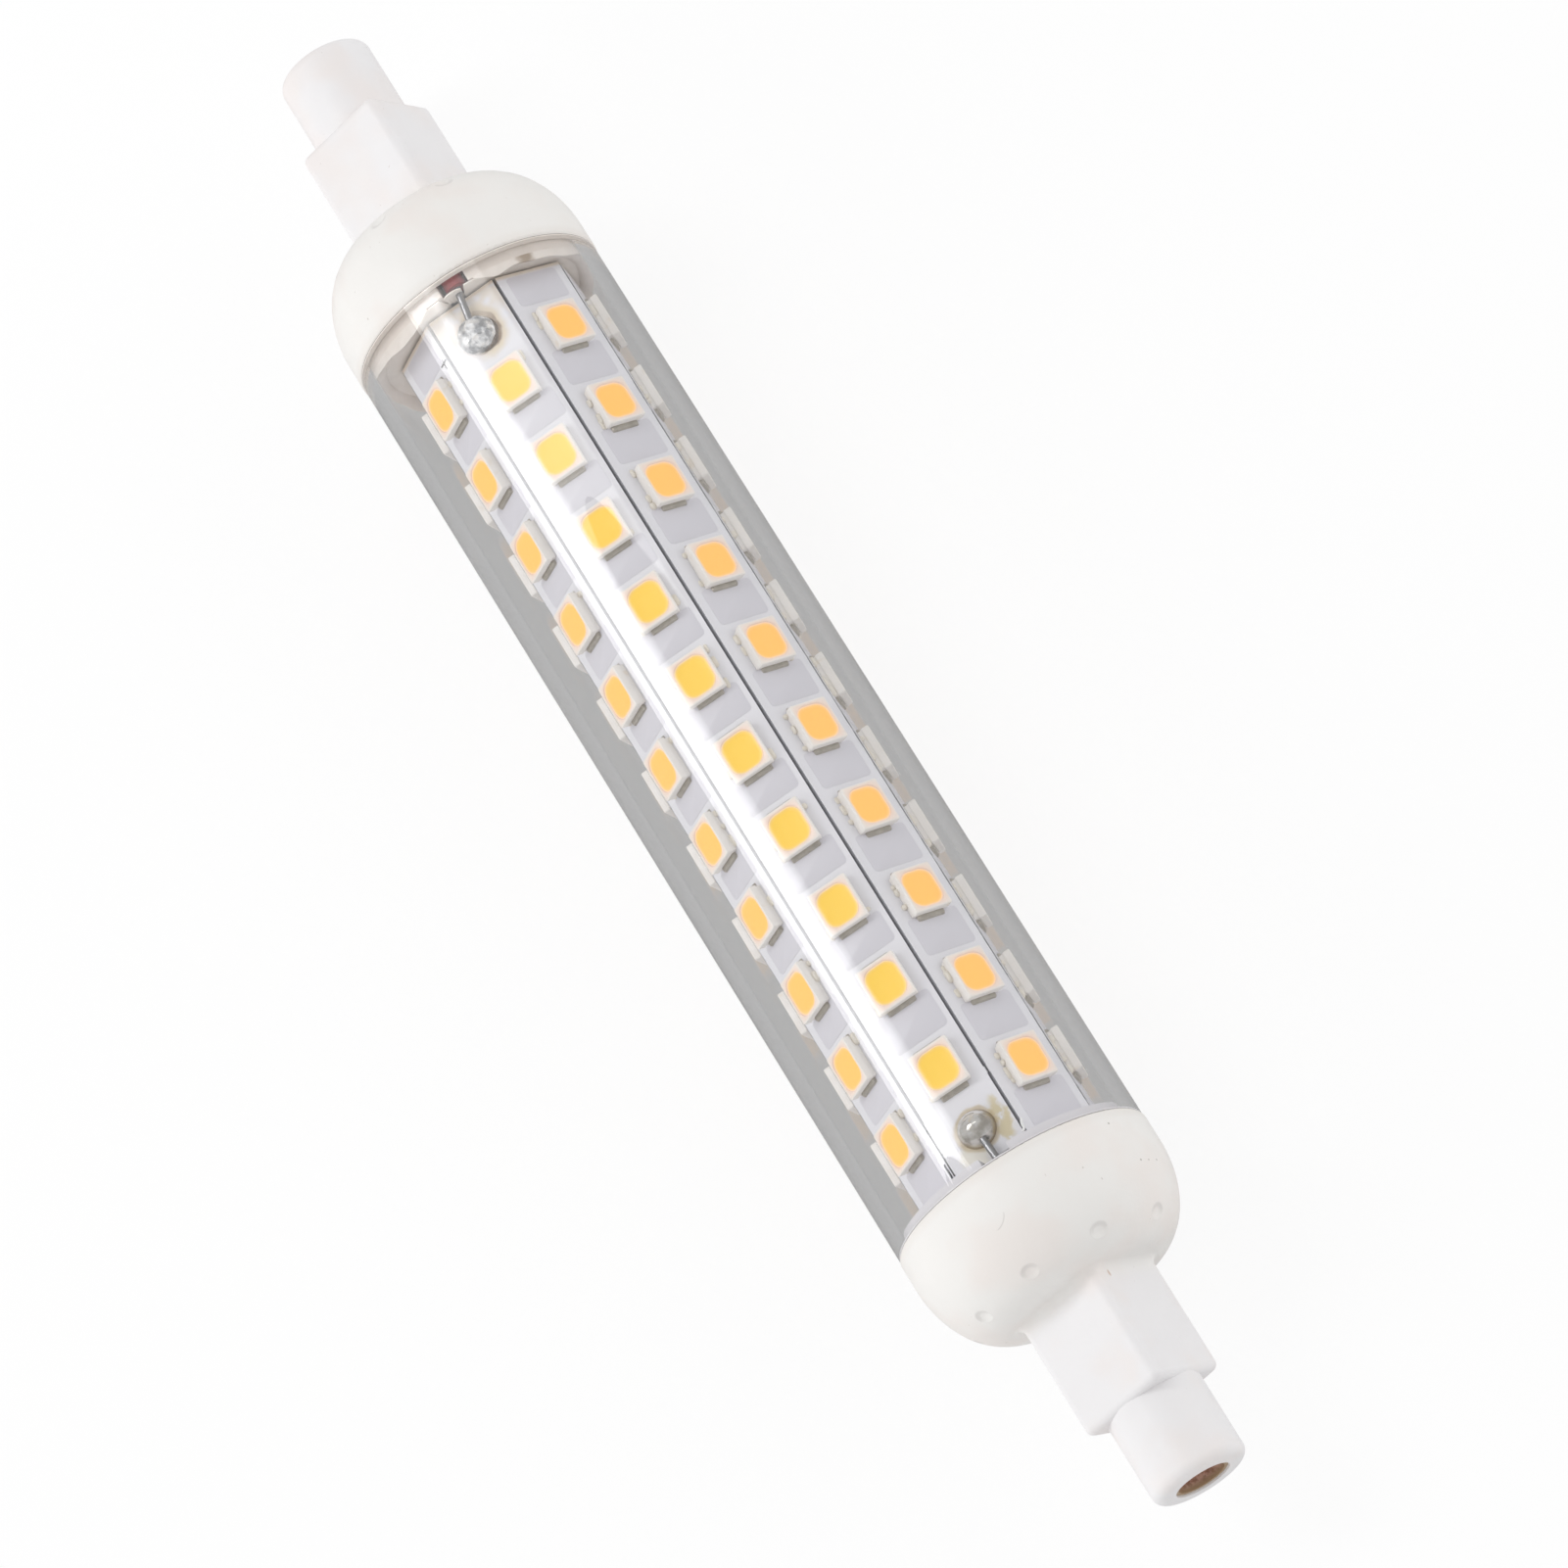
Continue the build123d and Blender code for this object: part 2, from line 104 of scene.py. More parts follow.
# The bead's section: share of its reach, radius
BEAD_PROFILE = ((0.2, 7.46), (0.6, 7.72), (0.9, 7.98), (1.0, 8.19))
SMUDGE = (-35.3, 5.4, 6.0)
COLLAR_STEPS = 180
FILM_INNER = 8.23
FILM_OUTER = 9.17
BEHIND_BOARD_INNER = 5.75
LIP_REACH = 7.95
LEAD_SIDE = 0.4
LEAD_HEIGHT = 7.18
SLEEVE_RADIUS = 0.84

# Marks on the ceramic, and the hollows moulded in each cap's shoulder
PINHOLES = (((40.32, 8.11, 4.03), 0.1), ((40.38, 8.44, 3.25), 0.08), ((40.39, 8.75, 2.29), 0.09),
            ((37.44, 7.73, 5.12), 0.1), ((44.2, 6.3, 2.4), 0.09))
NECK_TICK = (45.14, 2.4, 3.35)
HAIRLINE_CENTRE = (39.16, -1.54, 9.1)
HAIRLINE_MIDDLE = (40.11, -0.86, 9.05)
HAIRLINE_RADIUS = 1.17
HOLLOW_COUNT = 9
HOLLOW_PHASE = 0.75
HOLLOW_PLACE = 43.355
HOLLOW_RADIUS = 7.495
HOLLOW_SLOPE = 1.4

# Studio, in metres and degrees: the key light is four strips that fade to one side
FLOOR_SIZE = 4
FLOOR_LEVEL = 0.42
WORLD_FILL = 0.66
WORLD_LEVEL = 0.46
KEY_DISTANCE = 0.6
KEY_SHIFT = -0.236
KEY_LENGTH = 0.166
KEY_EDGES = (-42.5, -19.0, -16.2, -13.4, -10.6)
KEY_RADIANCES = (5.0, 3.9, 2.6, 1.3)
FILL_LAMP_SIDE = 0.9
CAMERA_LENS = 173.649
CAMERA_SENSOR = 36.0
CAMERA_CLIP = 0.01
CAMERA_PLACE = (0.17806, 0.06615, 0.46479)
CAMERA_RIGHT = (0.49619, 0.81457, -0.30044)
CAMERA_BACK = (0.34794, 0.13048, 0.92839)

rng = random.Random(7)


# Small helpers for node materials
class Nodes:
    """A material's node tree with short ways to add what the looks need."""

    def __init__(self, name):
        self.material = bpy.data.materials.new(name)
        self.material.use_nodes = True
        self.tree = self.material.node_tree
        self.shader = self.tree.nodes["Principled BSDF"]
        self.output = self.tree.nodes["Material Output"]
        coordinates = self.tree.nodes.new("ShaderNodeTexCoord")
        self.place = coordinates.outputs["Object"]

    def add(self, kind, **inputs):
        node = self.tree.nodes.new(kind)
        for name, value in inputs.items():
            self.put(node.inputs[name.replace("_", " ")], value)
        return node

    def put(self, socket, value):
        if isinstance(value, bpy.types.NodeSocket):
            self.tree.links.new(value, socket)
        elif isinstance(value, (tuple, list)) and len(value) == 3 and socket.type == "RGBA":
            socket.default_value = (*value, 1.0)
        else:
            socket.default_value = value

    def set(self, **inputs):
        for name, value in inputs.items():
            self.put(self.shader.inputs[name.replace("_", " ")], value)

    def math(self, operation, a, b=0.5, clamp=False):
        node = self.tree.nodes.new("ShaderNodeMath")
        node.operation = operation
        node.use_clamp = clamp
        self.put(node.inputs[0], a)
        self.put(node.inputs[1], b)
        return node.outputs[0]

    def noise(self, size_mm, detail=2.0, roughness=0.5):
        node = self.add("ShaderNodeTexNoise", Scale=1 / (size_mm * MM), Detail=detail, Roughness=roughness)
        self.put(node.inputs["Vector"], self.place)
        return node.outputs["Fac"]

    def range(self, value, low, high, to_low=0.0, to_high=1.0, smooth=True):
        node = self.tree.nodes.new("ShaderNodeMapRange")
        node.interpolation_type = "SMOOTHSTEP" if smooth else "LINEAR"
        for name, amount in (("Value", value), ("From Min", low), ("From Max", high),
                             ("To Min", to_low), ("To Max", to_high)):
            self.put(node.inputs[name], amount)
        return node.outputs["Result"]

    def mix(self, share, first, second):
        node = self.tree.nodes.new("ShaderNodeMix")
        node.data_type = "RGBA"
        self.put(node.inputs[0], share)
        self.put(node.inputs[6], first)
        self.put(node.inputs[7], second)
        return node.outputs[2]

    def axis(self, name):
        node = self.add("ShaderNodeSeparateXYZ", Vector=self.place)
        return node.outputs[name]

    def distance(self, point_mm, stretch=(1, 1, 1), wobble_mm=0.0, wobble_size=1.0):
        """Distance in millimetres from a point of the object, with a ragged edge if asked."""
        offset = self.tree.nodes.new("ShaderNodeVectorMath")
        offset.operation = "SUBTRACT"
        self.put(offset.inputs[0], self.place)
        self.put(offset.inputs[1], tuple(v * MM for v in point_mm))
        scale = self.tree.nodes.new("ShaderNodeVectorMath")
        scale.operation = "MULTIPLY"
        self.put(scale.inputs[0], offset.outputs[0])
        self.put(scale.inputs[1], tuple(s / MM for s in stretch))
        length = self.tree.nodes.new("ShaderNodeVectorMath")
        length.operation = "LENGTH"
        self.put(length.inputs[0], scale.outputs[0])
        value = length.outputs["Value"]
        if wobble_mm:
            swing = self.math("SUBTRACT", self.noise(wobble_size, 3.0), 0.5)
            value = self.math("ADD", value, self.math("MULTIPLY", swing, 2 * wobble_mm))
        return value

    def bump(self, height, depth_mm):
        node = self.add("ShaderNodeBump", Height=height, Distance=depth_mm * MM, Strength=1.0)
        if self.shader.inputs["Normal"].is_linked:
            before = self.shader.inputs["Normal"].links[0].from_socket
            self.put(node.inputs["Normal"], before)
        self.put(self.shader.inputs["Normal"], node.outputs["Normal"])


def srgb(red, green, blue):
    """A colour written as screen values from 0 to 255."""
    def linear(value):
        value /= 255
        return value / 12.92 if value <= 0.04045 else ((value + 0.055) / 1.055) ** 2.4
    return (linear(red), linear(green), linear(blue))


def give(material, *names):
    """Puts a material on CAD nodes."""
    for name in names:
        mesh = nodes[name].data
        mesh.materials.clear()
        mesh.materials.append(material)


# A short curved hairline on the near dome
def hairline(m):
    off_arc = m.math("ABSOLUTE", m.math("SUBTRACT", m.distance(HAIRLINE_CENTRE), HAIRLINE_RADIUS))
    near = m.range(m.distance(HAIRLINE_MIDDLE), 0.75, 0.45)
    return m.math("MULTIPLY", m.range(off_arc, 0.06, 0.02, 0.0, 0.32), near)


# Painted shade on the rim side of each hollow in a cap's shoulder, where the hollow's wall faces away from
# the light
def hollow_painted_shade(m):
    pitch = 2 * math.pi / HOLLOW_COUNT
    turn = m.math("DIVIDE", m.math("ARCTAN2", m.axis("Y"), m.axis("Z")), pitch)
    share = m.math("FRACT", m.math("ADD", turn, HOLLOW_COUNT + 0.5 - HOLLOW_PHASE))
    around = m.math("MULTIPLY", m.math("SUBTRACT", share, 0.5), pitch * HOLLOW_RADIUS)
    along = m.math("SUBTRACT", m.math("DIVIDE", m.math("ABSOLUTE", m.axis("X")), MM), HOLLOW_PLACE)
    along = m.math("MULTIPLY", along, HOLLOW_SLOPE)
    squares = m.math("ADD", m.math("MULTIPLY", around, around), m.math("MULTIPLY", along, along))
    off = m.math("SQRT", squares)
    ring = m.math("MULTIPLY", m.range(off, 0.28, 0.48), m.range(off, 0.74, 0.6))
    return m.math("MULTIPLY", ring, m.range(along, 0.25, -0.3, 0.04, 0.36))


# Unglazed ceramic of the end caps
def ceramic():
    m = Nodes("cap_ceramic")
    along = m.math("ABSOLUTE", m.axis("X"))
    neck = m.range(along, (RIM + 8.0) * MM, (RIM + 9.5) * MM)
    dome_colour = m.mix(m.noise(9.0, 3.0), srgb(241, 239, 236), srgb(237, 235, 232))
    neck_colour = m.mix(m.noise(6.0, 3.0), srgb(239, 238, 239), srgb(235, 233, 234))
    colour = m.mix(neck, dome_colour, neck_colour)
    blush = m.range(m.noise(5.0, 2.0), 0.45, 0.7, 0.0, 0.4)
    colour = m.mix(blush, colour, srgb(238, 227, 221))
    speck = m.range(m.noise(0.35, 1.0), 0.78, 0.84, 0.0, 0.5)
    colour = m.mix(speck, colour, srgb(176, 166, 156))
    # Painted shade: a soft, darker band on the cap next to the tube's end, where the two parts meet
    rim_painted_shade = m.range(along, (RIM + 0.1) * MM, (RIM + 0.9) * MM, 0.3, 0.0)
    colour = m.mix(rim_painted_shade, colour, srgb(224, 216, 208))
    lip = m.range(along, (RIM - 0.05) * MM, RIM * MM, 0.85, 0.0)
    lip_colour = m.mix(m.noise(0.9, 3.0), srgb(238, 229, 222), srgb(220, 209, 198))
    minus_end = m.range(m.axis("X"), -1 * MM, 1 * MM)
    lip_colour = m.mix(minus_end, lip_colour, srgb(222, 220, 224))
    colour = m.mix(lip, colour, lip_colour)
    # Painted shade: the rim side of each hollow is darkened as if its wall faced away from the light
    colour = m.mix(hollow_painted_shade(m), colour, srgb(205, 201, 198))
    for place, radius in PINHOLES:
        pinhole = m.range(m.distance(place), radius, radius * 0.4, 0.0, 0.7)
        colour = m.mix(pinhole, colour, srgb(150, 142, 134))
    tick = m.range(m.distance(NECK_TICK, (0.45, 1, 1)), 0.14, 0.07, 0.0, 0.55)
    colour = m.mix(tick, colour, srgb(188, 148, 118))
    colour = m.mix(hairline(m), colour, srgb(176, 172, 168))
    m.set(Base_Color=colour, IOR=1.5)
    m.set(Roughness=m.range(m.noise(1.2, 4.0), 0.3, 0.7, 0.42, 0.58))
    m.bump(m.noise(0.25, 4.0), 0.012)
    m.bump(m.noise(2.5, 2.0), 0.05)
    return m.material


# Dulled copper of the contact cups; its pale pinkish patches are partly wear and partly painted highlights
def contact():
    m = Nodes("contact_metal")
    # Pale pinkish patches: partly wear, partly painted highlights of the copper
    wear_and_highlights = m.range(m.noise(0.7, 4.0, 0.65), 0.4, 0.6)
    depth = m.range(m.math("ABSOLUTE", m.axis("X")), 58.2 * MM, 58.8 * MM)
    inside = m.mix(wear_and_highlights, srgb(176, 136, 118), srgb(232, 200, 184))
    colour = m.mix(depth, inside, srgb(176, 152, 122))
    m.set(Base_Color=colour, Metallic=0.2, Roughness=m.range(wear_and_highlights, 0, 1, 0.55, 0.32))
    m.bump(m.noise(0.3, 4.0), 0.02)
    return m.material


# How near a point is to one of the board's folds, as a ragged thin line
def fold_line(m):
    aside = m.math("SUBTRACT", m.axis("Y"), BOARD_SHIFT * MM)
    turn = m.math("DIVIDE", m.math("ARCTAN2", aside, m.axis("Z")), 2 * math.pi / FACETS)
    off_centre = m.math("ABSOLUTE", m.math("SUBTRACT", m.math("FRACT", m.math("ADD", turn, 8.5)), 0.5))
    ragged = m.range(m.noise(1.1, 3.0), 0.3, 0.7, -0.004, 0.004)
    return m.range(m.math("ADD", off_centre, ragged), 0.483, 0.489, 0.0, 0.6)


# White solder mask of the folded board
def board_mask(name="board_mask", tint=(231, 230, 234)):
    m = Nodes(name)
    patch = m.noise(7.0, 2.0)
    colour = m.mix(patch, srgb(*tint), srgb(*(v - 5 for v in tint)))
    colour = m.mix(fold_line(m), colour, srgb(112, 110, 114))
    top = m.range(m.axis("Z"), 6.3 * MM, 6.36 * MM)
    plus = m.distance(PLUS_JOINT, (1, 1, 1), 0.5, 1.2)
    side = m.range(m.axis("Y"), -0.6 * MM, 0.7 * MM, 0.2, 1.0)
    tan_ring = m.math("MULTIPLY", m.math("MULTIPLY", m.range(plus, 2.4, 1.7, 0.0, 0.75), top), side)
    colour = m.mix(tan_ring, colour, srgb(214, 196, 160))
    dark_ring = m.math("MULTIPLY", m.math("MULTIPLY", m.range(plus, 1.72, 1.5), top), side)
    colour = m.mix(dark_ring, colour, srgb(122, 90, 56))
    far_stain = m.math("MULTIPLY", m.range(m.axis("X"), -34.6 * MM, -30.5 * MM, 0.7, 0.0), top)
    far_stain = m.math("MULTIPLY", far_stain, m.range(m.noise(1.0, 3.0), 0.35, 0.62))
    colour = m.mix(far_stain, colour, srgb(218, 206, 188))
    end_line = m.range(m.axis("X"), (BOARD_START + 0.35) * MM, (BOARD_START + 0.1) * MM, 0.0, 0.7)
    colour = m.mix(end_line, colour, srgb(222, 202, 176))
    beside_minus = (MINUS_JOINT[0] + 0.4, MINUS_JOINT[1] + 1.65, MINUS_JOINT[2])
    minus = m.distance(beside_minus, (0.42, 1, 1), 0.35, 0.7)
    residue = m.math("MULTIPLY", m.range(minus, 0.8, 0.45, 0.0, 0.85), top)
    residue = m.math("MULTIPLY", residue, m.range(m.noise(0.5, 3.0), 0.3, 0.5))
    colour = m.mix(residue, colour, srgb(205, 190, 146))
    behind_minus = (MINUS_JOINT[0] + 1.5, MINUS_JOINT[1] - 1.0, MINUS_JOINT[2])
    cream = m.distance(behind_minus, (0.8, 1, 1), 0.4, 0.9)
    colour = m.mix(m.math("MULTIPLY", m.range(cream, 1.2, 0.7, 0.0, 0.6), top), colour, srgb(232, 226, 206))
    ring = m.range(m.distance(MINUS_JOINT, (1, 1, 1), 0.2, 0.8), 1.65, 1.4)
    colour = m.mix(m.math("MULTIPLY", m.math("MULTIPLY", ring, top), 0.7), colour, srgb(196, 176, 136))
    m.set(Base_Color=colour, Roughness=m.range(patch, 0.3, 0.7, 0.34, 0.46), IOR=1.5)
    m.bump(m.noise(0.18, 3.0), 0.006)
    m.bump(m.noise(3.0, 1.0), 0.03)
    return m.material


# Moulded white LED body, with a painted peach glow in its well
def led_housing_material():
    m = Nodes("led_housing")
    shade = m.noise(1.6, 2.0)
    colour = m.mix(shade, srgb(247, 244, 240), srgb(240, 234, 226))
    amber = m.range(m.noise(0.9, 3.0), 0.62, 0.75, 0.0, 0.3)
    colour = m.mix(amber, colour, srgb(228, 208, 176))
    # Painted glow: the well's walls are tinted peach as if lit by light scattered from the fill
    glow = m.add("ShaderNodeAttribute")
    glow.attribute_name = "rim_glow"
    colour = m.mix(glow.outputs["Fac"], colour, srgb(252, 226, 208))
    m.set(Base_Color=colour, Roughness=m.range(shade, 0.3, 0.7, 0.36, 0.5))
    m.bump(m.noise(0.2, 3.0), 0.006)
    return m.material


# Phosphor-filled silicone, with a painted glow: it gives off a faint light of its own colour though it is
# no lamp
def phosphor_material(name, centre, edge, painted_glow):
    m = Nodes(name)
    rim = m.add("ShaderNodeAttribute")
    rim.attribute_name = "rim_glow"
    grain = m.noise(0.12, 2.0)
    middle = m.mix(grain, srgb(*centre), srgb(centre[0], centre[1] - 8, centre[2] - 8))
    colour = m.mix(rim.outputs["Fac"], middle, srgb(*edge))
    m.set(Base_Color=colour, Roughness=m.range(grain, 0.3, 0.7, 0.3, 0.42))
    # Painted glow: the fill emits light of its own colour
    m.set(Emission_Color=colour, Emission_Strength=painted_glow)
    m.bump(m.noise(0.5, 2.0), 0.012)
    return m.material


def metal(name, colour, dark, roughness, grain_mm, depth_mm, metallic=1.0):
    m = Nodes(name)
    wear = m.noise(grain_mm, 4.0, 0.6)
    m.set(Base_Color=m.mix(wear, srgb(*colour), srgb(*dark)), Metallic=metallic)
    m.set(Roughness=m.range(wear, 0.3, 0.7, roughness, roughness + 0.15))
    m.bump(m.noise(grain_mm * 0.6, 3.0), depth_mm)
    return m.material


# Dull, faceted ball of solder, with painted highlights: pure white patches in its colour
def dull_solder():
    m = Nodes("solder_dull")
    wear = m.range(m.noise(0.7, 3.0, 0.6), 0.4, 0.6)
    # Painted highlights: noise patches of pure white mixed into the colour
    m.set(Base_Color=m.mix(wear, srgb(255, 255, 255), srgb(150, 152, 155)), Metallic=0.4)
    m.set(Roughness=m.range(wear, 0.3, 0.7, 0.18, 0.36))
    facets = m.add("ShaderNodeTexVoronoi", Scale=1 / (0.75 * MM), Vector=m.place)
    m.bump(facets.outputs["Distance"], 0.45)
    m.bump(m.noise(0.3, 3.0), 0.03)
    return m.material


# Shiny ball of solder, its foot browned by flux and darkened further as painted shade on its lower side
def bright_solder():
    m = Nodes("solder_bright")
    wear = m.range(m.noise(1.0, 2.0), 0.36, 0.64)
    colour = m.mix(wear, srgb(246, 244, 240), srgb(196, 190, 180))
    # Darker towards the board: flux browning together with painted shade under the ball
    foot = m.range(m.axis("Z"), 7.1 * MM, 6.5 * MM, 0.0, 0.8)
    colour = m.mix(foot, colour, srgb(150, 134, 106))
    m.set(Base_Color=colour, Metallic=0.88, Roughness=m.range(wear, 0.3, 0.7, 0.14, 0.24))
    m.bump(m.noise(1.1, 2.0), 0.1)
    return m.material


def plastic(name, colour, roughness, grain_mm=0.4, depth_mm=0.01, dark=10):
    m = Nodes(name)
    shade = m.noise(grain_mm * 3, 3.0)
    m.set(Base_Color=m.mix(shade, srgb(*colour), srgb(*(max(0, v - dark) for v in colour))))
    m.set(Roughness=m.range(shade, 0.3, 0.7, roughness, roughness + 0.12))
    m.bump(m.noise(grain_mm, 3.0), depth_mm)
    return m.material


# Glass of the outer tube: light and shadow rays pass it straight, so that what is inside it is lit
def tube_glass():
    m = Nodes("tube_clear")
    facing = m.add("ShaderNodeLayerWeight", Blend=0.5)
    ramp = m.tree.nodes.new("ShaderNodeValToRGB")
    m.put(ramp.inputs["Fac"], facing.outputs["Facing"])
    elements = ramp.color_ramp.elements
    elements[0].color = (1.0, 1.0, 1.0, 1)
    elements[1].color = (0.86, 0.862, 0.865, 1)
    m.set(Base_Color=ramp.outputs["Color"], Transmission_Weight=1.0, IOR=1.5)
    m.set(Roughness=m.range(m.noise(8.0, 3.0), 0.4, 0.7, 0.0, 0.03))
    m.bump(m.noise(14.0, 1.0), 0.02)
    clear = m.add("ShaderNodeBsdfTransparent", Color=(0.975, 0.975, 0.978))
    ray = m.tree.nodes.new("ShaderNodeLightPath")
    mixer = m.tree.nodes.new("ShaderNodeMixShader")
    lit = m.math("ADD", ray.outputs["Is Shadow Ray"], ray.outputs["Is Diffuse Ray"], clamp=True)
    m.put(mixer.inputs[0], lit)
    m.put(mixer.inputs[1], m.shader.outputs[0])
    m.put(mixer.inputs[2], clear.outputs[0])
    m.put(m.output.inputs["Surface"], mixer.outputs[0])
    return m.material


# Mesh building
def rounded_ring(length, width, radius, height, steps=6):
    """Points round a rectangle with round corners, at one height."""
    points = []
    for corner, (sx, sy) in enumerate(((1, 1), (-1, 1), (-1, -1), (1, -1))):
        cx = sx * (length / 2 - radius)
        cy = sy * (width / 2 - radius)
        for i in range(steps + 1):
            angle = math.radians(90 * corner + 90 * i / steps)
            points.append(Vector((cx + radius * math.cos(angle), cy + radius * math.sin(angle), height)))
    return points


class Builder:
    """Collects faces in millimetres and makes one mesh piece of them."""

    def __init__(self):
        self.points = []
        self.faces = []
        self.glow = []

    def ring(self, points, place, glow=0.0):
        start = len(self.points)
        self.points += [place @ p for p in points]
        self.glow += [glow] * len(points)
        return list(range(start, start + len(points)))

    def bridge(self, lower, upper):
        count = len(lower)
        for i in range(count):
            j = (i + 1) % count
            self.faces.append((lower[i], lower[j], upper[j], upper[i]))

    def cap(self, ring, flip=False):
        self.faces.append(tuple(reversed(ring)) if flip else tuple(ring))

    def loft(self, rings, place, glows=None, close_start=True):
        glows = glows or [0.0] * len(rings)
        made = [self.ring(r, place, g) for r, g in zip(rings, glows)]
        for lower, upper in zip(made, made[1:]):
            self.bridge(lower, upper)
        if close_start:
            self.cap(made[0], flip=True)
        self.cap(made[-1])

    def piece(self, name, material, slot_name, sharp=35):
        mesh = bpy.data.meshes.new(name)
        mesh.from_pydata([tuple(p * MM) for p in self.points], [], self.faces)
        mesh.materials.append(material)
        attribute = mesh.attributes.new("rim_glow", "FLOAT", "POINT")
        attribute.data.foreach_set("value", self.glow)
        mesh.validate()
        mesh.update()
        piece = bpy.data.objects.new(name, mesh)
        bpy.context.scene.collection.objects.link(piece)
        for polygon in mesh.polygons:
            polygon.use_smooth = True
        mesh.set_sharp_from_angle(angle=math.radians(sharp))
        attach(piece, "root")
        return piece


def facet_place(facet):
    turn = math.radians(-360 * facet / FACETS)
    return Matrix.Translation((0, BOARD_SHIFT, 0)) @ Matrix.Rotation(turn, 4, "X")


def led_places(row):
    first = BOARD_START + ROW_PLUS_MARGINS[row]
    last = BOARD_END - ROW_MINUS_MARGINS[row]
    longer = FIRST_ROW_LONGER_STEP if row == 0 else 0
    pitch = (last - first - longer) / (ROW_COUNTS[row] - 1)
    return [first + i * pitch for i in range(ROW_COUNTS[row] - 1)] + [last]


def led_frames(row):
    side = FIRST_ROW_SIDE if row == 0 else 0
    return [facet_place(row) @ Matrix.Translation((x, side, BOARD_APOTHEM)) for x in led_places(row)]


# One LED: a moulded frame with an undercut foot, a sloping well, the fill in it and two terminals
def add_led_body(builder, place):
    rings = [
        rounded_ring(LED_LENGTH - 0.16, LED_WIDTH - 0.1, LED_FOOT_CORNER, 0.02),
        rounded_ring(LED_LENGTH - 0.16, LED_WIDTH - 0.1, LED_FOOT_CORNER, 0.3),
        rounded_ring(LED_LENGTH, LED_WIDTH, LED_CORNER, 0.34),
        rounded_ring(LED_LENGTH, LED_WIDTH, LED_CORNER, LED_HEIGHT - 0.07),
        rounded_ring(LED_LENGTH - 0.03, LED_WIDTH - 0.03, LED_CORNER, LED_HEIGHT - 0.02),
        rounded_ring(LED_LENGTH - 0.1, LED_WIDTH - 0.1, LED_CORNER, LED_HEIGHT),
        rounded_ring(WELL_LENGTH, WELL_WIDTH, WELL_CORNER, LED_HEIGHT),
        rounded_ring(WELL_LENGTH - 0.08, WELL_WIDTH - 0.08, WELL_CORNER - 0.04, LED_HEIGHT - 0.02),
        rounded_ring(WELL_FOOT_LENGTH, WELL_FOOT_WIDTH, WELL_FOOT_CORNER, 0.35),
    ]
    builder.loft(rings, place, [0, 0, 0, 0, 0, 0.1, 0.9, 1, 1])


def add_phosphor(builder, place):
    rings = [
        rounded_ring(WELL_FOOT_LENGTH + 0.02, WELL_FOOT_WIDTH + 0.02, WELL_FOOT_CORNER, 0.4),
        rounded_ring(FILL_LENGTH, FILL_WIDTH, FILL_CORNER, LED_HEIGHT - 0.09),
    ]
    glows = [1.0, 1.0]
    for share, drop, glow in FILL_STEPS:
        length, width, corner = FILL_LENGTH * share, FILL_WIDTH * share, FILL_CORNER * share
        rings.append(rounded_ring(length, width, corner, LED_HEIGHT - drop))
        glows.append(glow)
    builder.loft(rings, place, glows)


def add_terminals(builder, place):
    for side in (-1, 1):
        reach = rng.uniform(0.0, 0.07)
        width = rng.uniform(1.95, 2.2)
        rings = []
        for length, narrow, corner, height in TERMINAL_STEPS:
            ring = rounded_ring(length + reach, width - narrow, corner, height, 3)
            slide = side * (LED_LENGTH / 2 - 0.18 + (length + reach) / 2)
            rings.append([p + Vector((slide, 0, 0)) for p in ring])
        builder.loft(rings, place)


# Small lumps of hardened flux beside the LEDs
def add_lump(builder, place, length, width, height):
    rings = []
    for share, rise in LUMP_STEPS:
        corner = min(length, width) * share * 0.48
        rings.append(rounded_ring(length * share, width * share, corner, 0.01 + height * rise, 3))
    builder.loft(rings, place)


def add_lumps(builder, place):
    for side, chance in ((-1, 0.95), (1, 0.3)):
        for x in (-1.15, -0.35, 0.5, 1.2):
            if rng.random() > chance * 0.7:
                continue
            shift = (x + rng.uniform(-0.3, 0.3), side * (LED_WIDTH / 2 + rng.uniform(-0.02, 0.08)), 0)
            length = rng.uniform(0.35, 0.95)
            width = rng.uniform(0.22, 0.42)
            add_lump(builder, place @ Matrix.Translation(shift), length, width, rng.uniform(0.08, 0.3))


housing = led_housing_material()
phosphors = {
    # The last number of each is the strength of that fill's painted glow
    "yellow": phosphor_material("phosphor_yellow", (255, 213, 74), (255, 228, 196), 0.08),
    "orange": phosphor_material("phosphor_orange", (255, 200, 104), (255, 220, 190), 0.2),
}
tinned = metal("led_terminal", (206, 200, 189), (164, 157, 146), 0.42, 0.4, 0.012, 0.35)
flux = plastic("flux_cream", (240, 233, 220), 0.3, 0.3, 0.01, 16)
mask = board_mask()
pour_mask = board_mask("board_pour", (218, 216, 222))

for row in range(FACETS):
    number = row + 1
    bodies, fills, feet, lumps = Builder(), Builder(), Builder(), Builder()
    for place in led_frames(row):
        tilt = Matrix.Rotation(math.radians(rng.uniform(-0.7, 0.7)), 4, "Z")
        add_led_body(bodies, place @ tilt)
        add_phosphor(fills, place @ tilt)
        add_terminals(feet, place @ tilt)
        add_lumps(lumps, place)
    body = bodies.piece(f"led_bodies_{number}", housing, "led_housing", sharp=50)
    phosphor = phosphors["yellow" if row == 0 else "orange"]
    fill = fills.piece(f"led_fills_{number}", phosphor, "led_phosphor", sharp=60)
    foot = feet.piece(f"led_feet_{number}", tinned, "led_terminal", sharp=30)
    lumps.piece(f"flux_lumps_{number}", flux, "led_housing", sharp=60)
    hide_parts(f"led_housings_row_{number}")
    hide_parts(f"led_phosphors_row_{number}")
    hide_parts(f"led_terminals_row_{number}")


